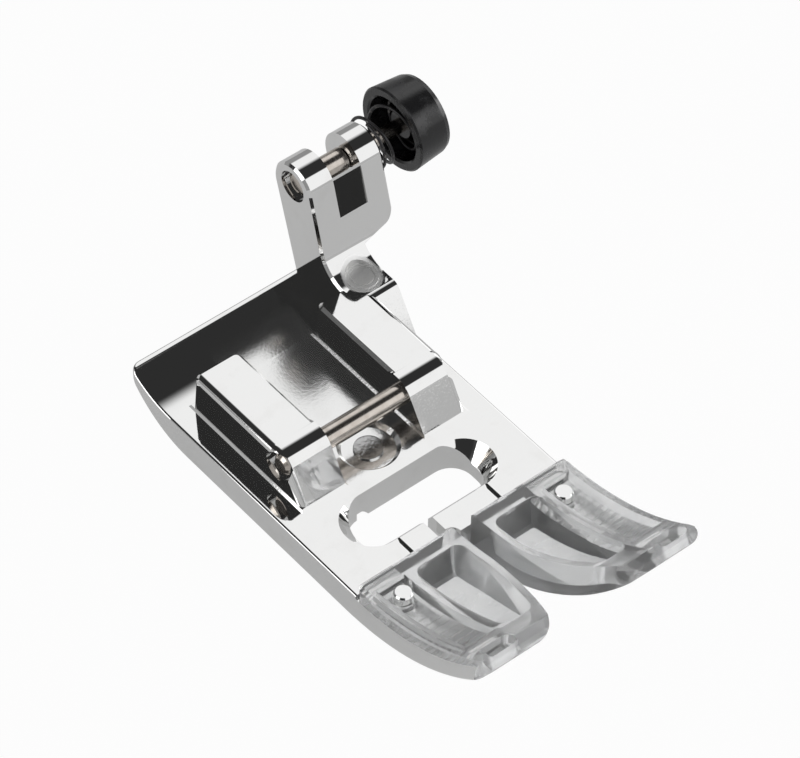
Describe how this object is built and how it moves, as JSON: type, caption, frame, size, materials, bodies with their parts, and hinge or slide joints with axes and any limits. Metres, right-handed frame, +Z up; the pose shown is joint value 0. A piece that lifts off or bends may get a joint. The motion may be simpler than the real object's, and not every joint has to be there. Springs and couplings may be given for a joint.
{
  "type": "sewing machine presser foot",
  "caption": "Clip-on zigzag presser foot in chromed metal, with clear toes and a black sprung levelling button.",
  "frame": {"origin": "on the sole plane, on the plate's centre line, below the middle of the clip-on bar", "axes": "+X to the operator's right, where the button stands; +Y to the rear, away from the operator; +Z up"},
  "size_m": [0.0291, 0.046, 0.0169],
  "materials": {
    "chrome_casting": "polished",
    "steel_pin": "ground",
    "clear_toe": "gloss",
    "black_plastic": "gloss",
    "black_wire": "oiled"
  },
  "bodies": {
    "foot": {"foot_casting": "chrome_casting", "snap_bar": "steel_pin", "toe_insert_right": "clear_toe", "toe_insert_left": "clear_toe", "button_spring": "black_wire"},
    "levelling_button": {"lock_pin": "steel_pin", "button": "black_plastic"}
  },
  "joints": [
    {"name": "button_press", "type": "slide", "parent": "foot", "child": "levelling_button", "axis": [-1, 0, 0], "range_m": [0, 0.0024], "stiffness_N_per_m": 400, "springref_m": -0.0012, "deforming": ["button_spring"]}
  ]
}
